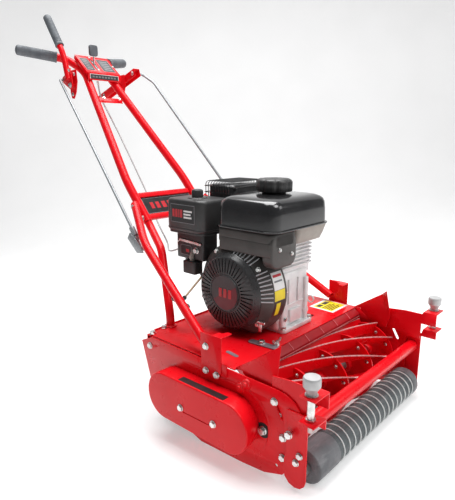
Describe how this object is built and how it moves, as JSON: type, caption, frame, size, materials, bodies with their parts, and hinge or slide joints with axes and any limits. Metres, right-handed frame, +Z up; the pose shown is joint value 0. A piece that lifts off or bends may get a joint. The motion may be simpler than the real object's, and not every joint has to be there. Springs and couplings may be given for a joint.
{
  "type": "reel mower",
  "caption": "Walk-behind front-throw reel mower: petrol engine on a red steel deck over a bladed reel, ringed front roller, screw height knobs, tubular handle with two levers.",
  "frame": {"origin": "on the ground, midway across the width and midway along the length of the whole mower", "axes": "+Z up, -Y the way it mows (roller end), +Y toward the handle, -X the operator's right (chain cover side)"},
  "size_m": [0.6388, 1.1882, 1.1634],
  "materials": {
    "red_paint": "gloss bright red powder coat, chipped at edges",
    "grey_grip": "dull mid grey moulded grip, faintly grained",
    "black_plastic": "satin black moulding",
    "cable_jacket": "black cable jacket",
    "black_enamel": "gloss black enamel",
    "zinc_steel": "bright zinc plate",
    "bare_steel": "dull bare steel",
    "cast_alloy": "pale cast, finely pitted",
    "tyre_rubber": "matt black rubber",
    "roller_rubber": "dark grey-green, scuffed grey at the ends"
  },
  "bodies": {
    "frame": {"air_cleaner": "black_plastic", "bedknife": "bare_steel", "blower_housing": "black_plastic", "carburetor": "cast_alloy", "chain_cover": "red_paint", "control_panel": "red_paint", "crankcase": "cast_alloy", "cylinder_shroud": "black_plastic", "deck_front_channel": "red_paint", "drive_belt": "tyre_rubber", "engine_deck": "red_paint", "fuel_tank": "black_enamel", "left_grip": "grey_grip", "left_handle_bracket": "red_paint", "left_handle_tube": "red_paint", "left_knob_bracket": "red_paint", "left_lever_bracket": "red_paint", "left_lower_tube": "red_paint", "left_rear_brace": "red_paint", "left_side_plate": "red_paint", "left_side_shield": "red_paint", "lower_crossbar": "red_paint", "muffler": "black_enamel", "name_panel": "black_plastic", "rear_apron": "red_paint", "recoil_cover": "black_plastic", "reel_chain": "bare_steel", "right_grip": "grey_grip", "right_handle_bracket": "red_paint", "right_handle_tube": "red_paint", "right_knob_bracket": "red_paint", "right_lever_bracket": "red_paint", "right_lower_tube": "red_paint", "right_rear_brace": "red_paint", "right_side_plate": "red_paint", "right_side_shield": "red_paint", "throttle_cable": "cable_jacket", "upper_crossbar": "red_paint"},
    "cutting_reel": {"reel": "red_paint"},
    "jackshaft": {"countershaft": "bare_steel"},
    "engine_crank": {"engine_pulley": "bare_steel"},
    "rear_wheels": {"rear_axle": "bare_steel", "right_wheel": "tyre_rubber", "left_wheel": "tyre_rubber"},
    "roller_frame": {"right_roller_bracket": "red_paint", "left_roller_bracket": "red_paint", "front_tie_tube": "red_paint", "roller_axle": "bare_steel"},
    "roller": {"front_roller": "roller_rubber"},
    "right_knob": {"right_height_knob": "cast_alloy"},
    "left_knob": {"left_height_knob": "cast_alloy"},
    "drive_lever": {"right_lever": "red_paint", "right_lever_grip": "grey_grip"},
    "clutch_lever": {"left_lever": "red_paint"},
    "right_rod": {"right_control_rod": "zinc_steel"},
    "left_rod": {"left_control_rod": "zinc_steel"},
    "throttle": {"throttle_lever": "grey_grip"},
    "tank_cap": {"fuel_cap": "black_plastic"},
    "starter": {"starter_grip": "black_plastic"}
  },
  "joints": [
    {"name": "reel_spin", "type": "hinge", "parent": "frame", "child": "cutting_reel", "pos_m": [0.00485, -0.4052, 0.10163], "axis": [1, 0, 0], "continuous": true},
    {"name": "countershaft_spin", "type": "hinge", "parent": "frame", "child": "jackshaft", "pos_m": [0.00485, -0.29121, 0.13167], "axis": [1, 0, 0], "continuous": true},
    {"name": "crank_spin", "type": "hinge", "parent": "frame", "child": "engine_crank", "pos_m": [0.00485, -0.23528, 0.3387], "axis": [1, 0, 0], "continuous": true},
    {"name": "wheel_spin", "type": "hinge", "parent": "frame", "child": "rear_wheels", "pos_m": [0.00485, -0.15694, 0.108], "axis": [1, 0, 0], "continuous": true},
    {"name": "right_knob_turn", "type": "hinge", "parent": "frame", "child": "right_knob", "pos_m": [-0.29215, -0.57305, 0.20779], "axis": [0, -0.0785, 0.9969], "range_deg": [0, 2160]},
    {"name": "left_knob_turn", "type": "hinge", "parent": "frame", "child": "left_knob", "pos_m": [0.30185, -0.57305, 0.20779], "axis": [0, -0.0785, 0.9969], "range_deg": [0, 2160]},
    {"name": "cut_height", "type": "slide", "parent": "frame", "child": "roller_frame", "axis": [0, -0.0785, 0.9969], "range_m": [-0.018, 0]},
    {"name": "roller_spin", "type": "hinge", "parent": "roller_frame", "child": "roller", "pos_m": [0.00485, -0.51784, 0.0378], "axis": [1, 0, 0], "continuous": true},
    {"name": "drive_lever_swing", "type": "hinge", "parent": "frame", "child": "drive_lever", "pos_m": [-0.09515, 0.43455, 0.92807], "axis": [1, 0, 0], "range_deg": [-11, 20]},
    {"name": "right_rod_pivot", "type": "hinge", "parent": "drive_lever", "child": "right_rod", "pos_m": [-0.10435, 0.47393, 0.95023], "axis": [1, 0, 0], "range_deg": [-20, 11]},
    {"name": "clutch_lever_swing", "type": "hinge", "parent": "frame", "child": "clutch_lever", "pos_m": [0.11335, 0.45475, 0.95173], "axis": [1, 0, 0], "range_deg": [-15, 25]},
    {"name": "left_rod_pivot", "type": "hinge", "parent": "clutch_lever", "child": "left_rod", "pos_m": [0.12605, 0.3748, 0.97352], "axis": [1, 0, 0], "range_deg": [-27, 17]},
    {"name": "throttle_swing", "type": "hinge", "parent": "frame", "child": "throttle", "pos_m": [-0.00715, 0.4359, 0.98736], "axis": [1, 0, 0], "range_deg": [-12, 30]},
    {"name": "cap_turn", "type": "hinge", "parent": "frame", "child": "tank_cap", "pos_m": [0.00185, -0.28729, 0.57896], "axis": [0, -0.0785, 0.9969], "range_deg": [0, 90]},
    {"name": "starter_pull", "type": "slide", "parent": "frame", "child": "starter", "axis": [-0.9708, 0.0188, -0.2389], "range_m": [0, 0.25], "stiffness_N_per_m": 20, "springref_m": -0.1}
  ],
  "couplings": [
    {"joint": "countershaft_spin", "follows": "reel_spin", "ratio": 1},
    {"joint": "crank_spin", "follows": "reel_spin", "ratio": 1},
    {"joint": "right_knob_turn", "follows": "cut_height", "rad_per_m": -2094.4},
    {"joint": "left_knob_turn", "follows": "cut_height", "rad_per_m": -2094.4},
    {"joint": "right_rod_pivot", "follows": "drive_lever_swing", "ratio": -0.933},
    {"joint": "left_rod_pivot", "follows": "clutch_lever_swing", "ratio": -1.0432}
  ]
}
